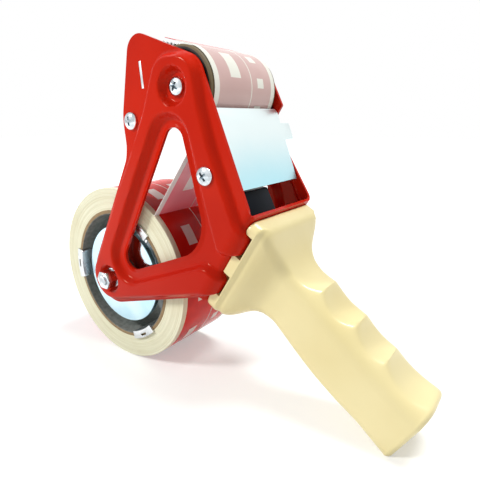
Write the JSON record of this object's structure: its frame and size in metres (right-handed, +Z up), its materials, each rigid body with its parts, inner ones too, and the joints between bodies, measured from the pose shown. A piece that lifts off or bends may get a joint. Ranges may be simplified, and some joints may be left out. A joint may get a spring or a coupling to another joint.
{
  "type": "packing tape dispenser",
  "caption": "hand-held packing tape gun: pressed U frame, tape roll on a braked hub, rubber pressing roller, finger brake plate, toothed blade and moulded grip",
  "frame": {"origin": "middle of the box that holds the tool, on the floor it rests on", "axes": "+X from the tape roll to the butt of the handle, +Y across the tool from the long plate to the short plate, +Z up"},
  "size_m": [0.2376, 0.0744, 0.1868],
  "materials": {
    "red_paint": "gloss",
    "zinc_plate": "satin",
    "blade_steel": "satin",
    "spring_steel": "satin",
    "tan_rubber": "matte",
    "black_plastic": "matte",
    "nylon": "matte",
    "fibre": "matte",
    "cardboard": "matte",
    "tape_winding": "gloss",
    "tape_strand": "gloss",
    "cream_plastic": "satin",
    "brass": "satin"
  },
  "bodies": {
    "frame_body": {"frame": "red_paint", "plate_screws": "zinc_plate", "roller_axle": "zinc_plate", "front_rod": "zinc_plate", "rear_rod": "zinc_plate", "hub_spacer": "zinc_plate", "friction_washers": "fibre", "hub_washers": "zinc_plate", "hub_bolt": "zinc_plate", "brake_nut": "zinc_plate", "brake_spring": "spring_steel", "return_spring": "spring_steel", "stop_block": "black_plastic", "block_screw": "zinc_plate", "blade_carrier": "zinc_plate", "blade": "blade_steel", "blade_screws": "zinc_plate", "tape_film": "tape_strand", "handle": "cream_plastic", "handle_inserts": "brass", "handle_bolts": "zinc_plate"},
    "roller_body": {"roller_sleeve": "tan_rubber", "roller_core": "black_plastic", "roller_bush_near": "black_plastic", "roller_bush_far": "black_plastic"},
    "hub_body": {"tape_core": "cardboard", "tape_roll": "tape_winding", "hub_disc": "zinc_plate", "hub_tube": "zinc_plate", "hub_bush": "nylon", "hub_spider": "zinc_plate"},
    "brake_plate_body": {"brake_plate": "zinc_plate"}
  },
  "joints": [
    {"name": "roll_spin", "type": "hinge", "parent": "frame_body", "child": "hub_body", "pos_m": [-0.06482, 0.0012, 0.054], "axis": [0, 1, 0], "continuous": true},
    {"name": "roller_spin", "type": "hinge", "parent": "frame_body", "child": "roller_body", "pos_m": [-0.00522, 0.0012, 0.16171], "axis": [0, 1, 0], "continuous": true},
    {"name": "brake_plate_press", "type": "hinge", "parent": "frame_body", "child": "brake_plate_body", "pos_m": [0.01418, 0.0012, 0.12215], "axis": [0, -1, 0], "range_deg": [0, 2.6], "stiffness_Nm_per_rad": 0.5}
  ],
  "couplings": [
    {"joint": "roller_spin", "follows": "roll_spin", "ratio": -2.9032}
  ]
}
